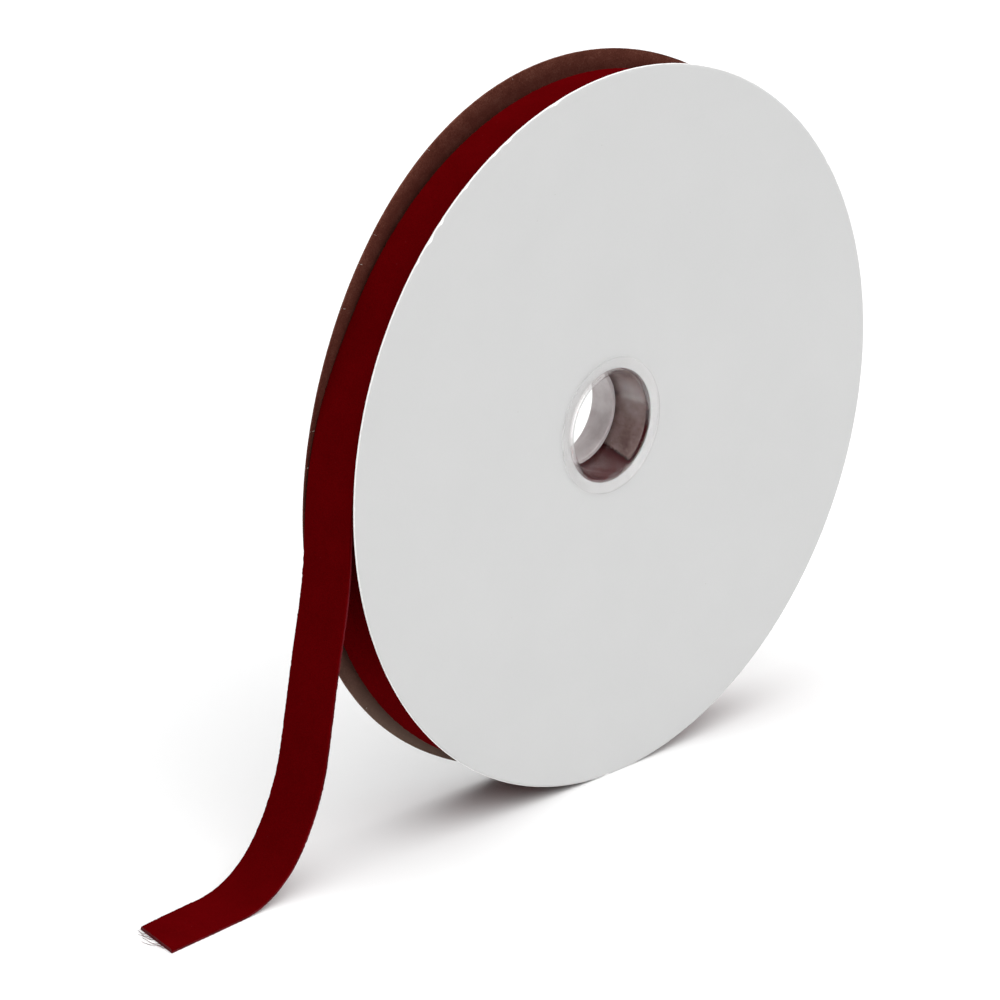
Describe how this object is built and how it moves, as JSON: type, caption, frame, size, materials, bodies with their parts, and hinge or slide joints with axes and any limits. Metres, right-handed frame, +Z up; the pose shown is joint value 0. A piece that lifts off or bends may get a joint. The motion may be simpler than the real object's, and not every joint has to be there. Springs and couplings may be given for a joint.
{
  "type": "ribbon spool",
  "caption": "Round cardboard spool with a clear plastic hub, wound with velvet ribbon whose free end hangs down and lies out flat.",
  "frame": {"origin": "on the hub's axis, midway between the cards at the hub", "axes": "+Y along the spool's axis towards the rear card, +Z up as it stands on its rims, free end of the ribbon on the -X side"},
  "size_m": [0.2384, 0.0192, 0.178],
  "materials": {
    "chipboard": "matt brown recycled chipboard",
    "white_paper": "matt off-white paper with faint fibres",
    "clear_plastic": "clear, slightly milky moulded plastic",
    "paper_tape": "grey-brown creped paper tape",
    "velvet": "dark red velvet pile, soft sheen"
  },
  "bodies": {
    "free_end": {"ribbon_free_end": "velvet"},
    "core": {"hub_front_half": "clear_plastic", "hub_rear_half": "clear_plastic", "core_tape": "paper_tape", "ribbon_roll": "velvet"},
    "front_card": {"front_board": "chipboard", "front_facing": "white_paper"},
    "rear_card": {"rear_board": "chipboard", "rear_facing": "white_paper"}
  },
  "joints": [
    {"name": "roll_turn", "type": "hinge", "parent": "free_end", "child": "core", "pos_m": [0, 0, 0], "axis": [0, 1, 0], "continuous": true},
    {"name": "front_card_turn", "type": "hinge", "parent": "core", "child": "front_card", "pos_m": [0, -0.008, 0], "axis": [0, 1, 0], "continuous": true},
    {"name": "rear_card_turn", "type": "hinge", "parent": "core", "child": "rear_card", "pos_m": [0, 0.008, 0], "axis": [0, 1, 0], "continuous": true}
  ]
}
